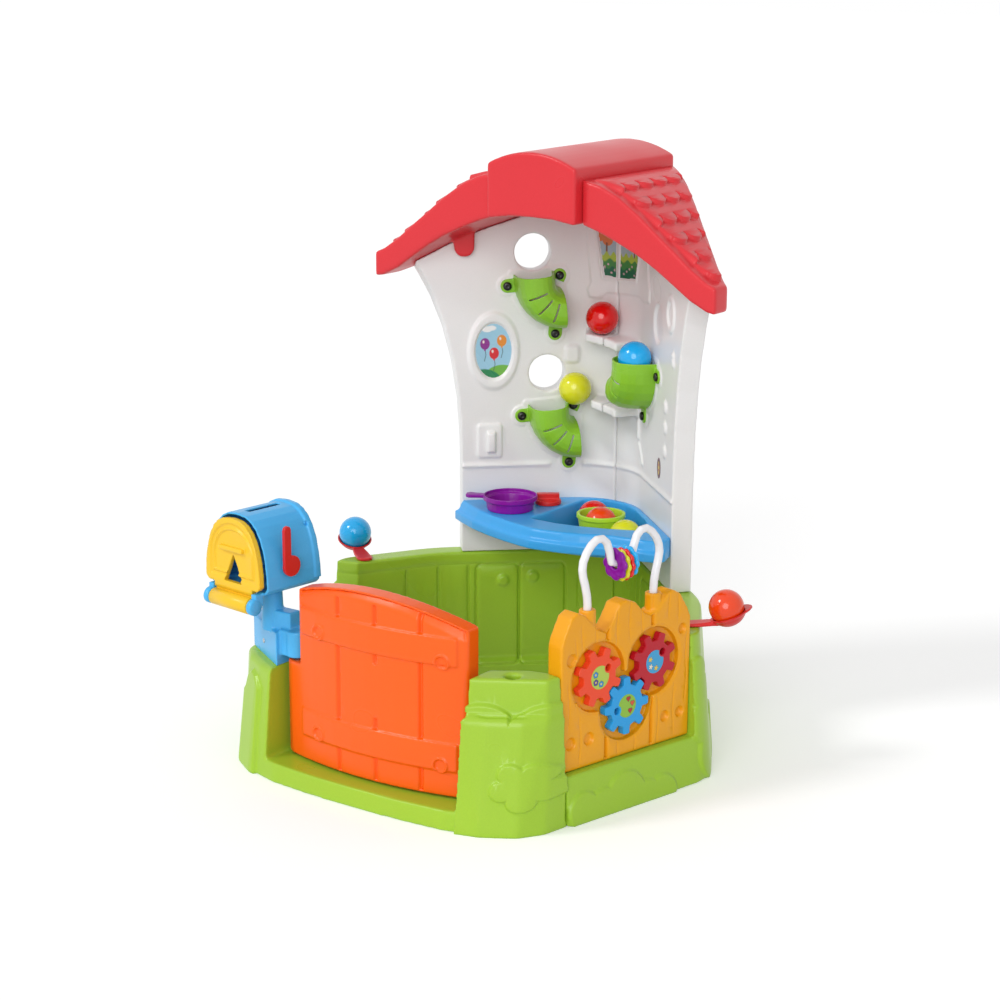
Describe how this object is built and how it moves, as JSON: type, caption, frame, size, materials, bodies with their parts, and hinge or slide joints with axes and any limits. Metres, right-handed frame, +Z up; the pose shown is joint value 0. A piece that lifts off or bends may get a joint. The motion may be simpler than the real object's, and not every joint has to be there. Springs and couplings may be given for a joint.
{
  "type": "toddler playhouse",
  "caption": "Moulded plastic corner playhouse for toddlers with swinging half door, mailbox, gear panel, bead rail, ball funnels, play counter with sink and an arched roof.",
  "frame": {"origin": "on the floor under the middle of the doorway sill", "axes": "+Z up, +Y from the doorway to the back corner, +X to the right seen from the front"},
  "size_m": [0.9384, 0.9041, 1.092],
  "materials": {
    "leaf_green": "satin",
    "wall_white": "satin",
    "roof_red": "glossy",
    "counter_blue": "glossy",
    "door_orange": "glossy",
    "mail_blue": "glossy",
    "flap_yellow": "glossy",
    "flag_red": "glossy",
    "panel_yellow": "satin",
    "gear_orange": "glossy",
    "gear_red": "glossy",
    "gear_blue": "glossy",
    "rail_white": "glossy",
    "funnel_green": "glossy",
    "cap_black": "satin",
    "pan_purple": "glossy",
    "cup_lime": "glossy",
    "ball_red": "glossy",
    "ball_yellow": "glossy",
    "ball_blue": "glossy",
    "ball_orange": "glossy",
    "steel": "bright"
  },
  "bodies": {
    "house": {"base_front": "leaf_green", "base_left": "leaf_green", "base_right": "leaf_green", "wall_left": "wall_white", "wall_right": "wall_white", "roof_wing_left": "roof_red", "roof_wing_right": "roof_red", "roof_ridge": "roof_red", "countertop": "counter_blue", "upper_funnel": "funnel_green", "upper_funnel_cap_1": "cap_black", "upper_funnel_cap_2": "cap_black", "upper_funnel_cap_3": "cap_black", "lower_funnel": "funnel_green", "lower_funnel_cap_1": "cap_black", "lower_funnel_cap_2": "cap_black", "lower_funnel_cap_3": "cap_black", "right_funnel": "funnel_green", "right_funnel_cap_1": "cap_black", "right_funnel_cap_2": "cap_black", "right_funnel_cap_3": "cap_black", "mailbox_bracket": "mail_blue", "mailbox_body": "mail_blue", "flap_hinge_pin": "steel", "bracket_screw": "steel", "upper_door_pin": "steel", "lower_door_pin": "steel", "gear_panel": "panel_yellow", "axle_blue": "rail_white", "axle_orange": "rail_white", "axle_red": "rail_white", "bead_rail": "rail_white", "spoon_left": "flag_red", "spoon_left_screw": "steel", "spoon_right": "flag_red", "spoon_right_screw": "steel"},
    "door": {"door": "door_orange"},
    "mailbox_flap": {"mailbox_flap": "flap_yellow"},
    "mailbox_flag": {"mailbox_flag": "flag_red"},
    "gear_blue": {"gear_blue": "gear_blue"},
    "gear_orange": {"gear_orange": "gear_orange"},
    "gear_red": {"gear_red": "gear_red"},
    "stove_knob": {"stove_knob": "flag_red"},
    "bead_1": {"bead_1": "pan_purple"},
    "bead_2": {"bead_2": "ball_yellow"},
    "bead_3": {"bead_3": "ball_red"},
    "bead_4": {"bead_4": "ball_blue"},
    "pan": {"pan": "pan_purple"},
    "cup": {"cup": "cup_lime"},
    "ball_in_cup": {"ball_in_cup": "ball_orange"},
    "ball_in_right_funnel": {"ball_in_right_funnel": "ball_blue"},
    "ball_left_spoon": {"ball_left_spoon": "ball_blue"},
    "ball_on_lower_funnel": {"ball_on_lower_funnel": "ball_yellow"},
    "ball_on_shelf": {"ball_on_shelf": "ball_red"},
    "ball_right_spoon": {"ball_right_spoon": "ball_orange"},
    "ball_sink_lime": {"ball_sink_lime": "ball_yellow"},
    "ball_sink_red": {"ball_sink_red": "ball_red"}
  },
  "joints": [
    {"name": "door_swing", "type": "hinge", "parent": "house", "child": "door", "pos_m": [-0.188, 0.0134, 0], "axis": [0, 0, 1], "range_deg": [-55, 55]},
    {"name": "flap_drop", "type": "hinge", "parent": "house", "child": "mailbox_flap", "pos_m": [-0.27962, -0.05559, 0.322], "axis": [0.992, -0.1262, 0], "range_deg": [0, 110]},
    {"name": "flag_turn", "type": "hinge", "parent": "house", "child": "mailbox_flag", "pos_m": [-0.19031, -0.00022, 0.39], "axis": [0.992, -0.1262, 0], "range_deg": [-90, 90]},
    {"name": "blue_gear_spin", "type": "hinge", "parent": "house", "child": "gear_blue", "pos_m": [0.3585, 0.23603, 0.17877], "axis": [0.9744, -0.225, 0], "continuous": true},
    {"name": "orange_gear_spin", "type": "hinge", "parent": "house", "child": "gear_orange", "pos_m": [0.34366, 0.17172, 0.245], "axis": [0.9744, -0.225, 0], "continuous": true},
    {"name": "red_gear_spin", "type": "hinge", "parent": "house", "child": "gear_red", "pos_m": [0.37335, 0.30034, 0.245], "axis": [0.9744, -0.225, 0], "continuous": true},
    {"name": "knob_turn", "type": "hinge", "parent": "house", "child": "stove_knob", "pos_m": [-0.088, 0.656, 0.3833], "axis": [0, 0, 1], "continuous": true},
    {"name": "bead_1_spin", "type": "hinge", "parent": "house", "child": "bead_1", "pos_m": [0.34954, 0.22299, 0.43282], "axis": [0.225, 0.9744, 0], "continuous": true},
    {"name": "bead_2_spin", "type": "hinge", "parent": "house", "child": "bead_2", "pos_m": [0.35168, 0.23225, 0.42988], "axis": [0.225, 0.9744, 0], "continuous": true},
    {"name": "bead_3_spin", "type": "hinge", "parent": "house", "child": "bead_3", "pos_m": [0.35382, 0.24151, 0.42988], "axis": [0.225, 0.9744, 0], "continuous": true},
    {"name": "bead_4_spin", "type": "hinge", "parent": "house", "child": "bead_4", "pos_m": [0.35595, 0.25076, 0.43282], "axis": [0.225, 0.9744, 0], "continuous": true},
    {"name": "pan_lift", "type": "slide", "parent": "house", "child": "pan", "axis": [0, 0, 1], "range_m": [0, 0.08]},
    {"name": "cup_lift", "type": "slide", "parent": "house", "child": "cup", "axis": [0, 0, 1], "range_m": [0, 0.08]},
    {"name": "cup_ball_lift", "type": "slide", "parent": "cup", "child": "ball_in_cup", "axis": [0, 0, 1], "range_m": [0, 0.06]},
    {"name": "right_funnel_ball_lift", "type": "slide", "parent": "house", "child": "ball_in_right_funnel", "axis": [0, 0, 1], "range_m": [0, 0.06]},
    {"name": "left_spoon_ball_lift", "type": "slide", "parent": "house", "child": "ball_left_spoon", "axis": [0, 0, 1], "range_m": [0, 0.06]},
    {"name": "lower_funnel_ball_out", "type": "slide", "parent": "house", "child": "ball_on_lower_funnel", "axis": [0.682, -0.7314, 0], "range_m": [0, 0.06]},
    {"name": "shelf_ball_out", "type": "slide", "parent": "house", "child": "ball_on_shelf", "axis": [0, -1, 0], "range_m": [0, 0.06]},
    {"name": "right_spoon_ball_lift", "type": "slide", "parent": "house", "child": "ball_right_spoon", "axis": [0, 0, 1], "range_m": [0, 0.06]},
    {"name": "lime_sink_ball_lift", "type": "slide", "parent": "house", "child": "ball_sink_lime", "axis": [0, 0, 1], "range_m": [0, 0.06]},
    {"name": "red_sink_ball_lift", "type": "slide", "parent": "house", "child": "ball_sink_red", "axis": [0, 0, 1], "range_m": [0, 0.06]}
  ],
  "couplings": [
    {"joint": "orange_gear_spin", "follows": "blue_gear_spin", "ratio": -1},
    {"joint": "red_gear_spin", "follows": "blue_gear_spin", "ratio": -1}
  ]
}
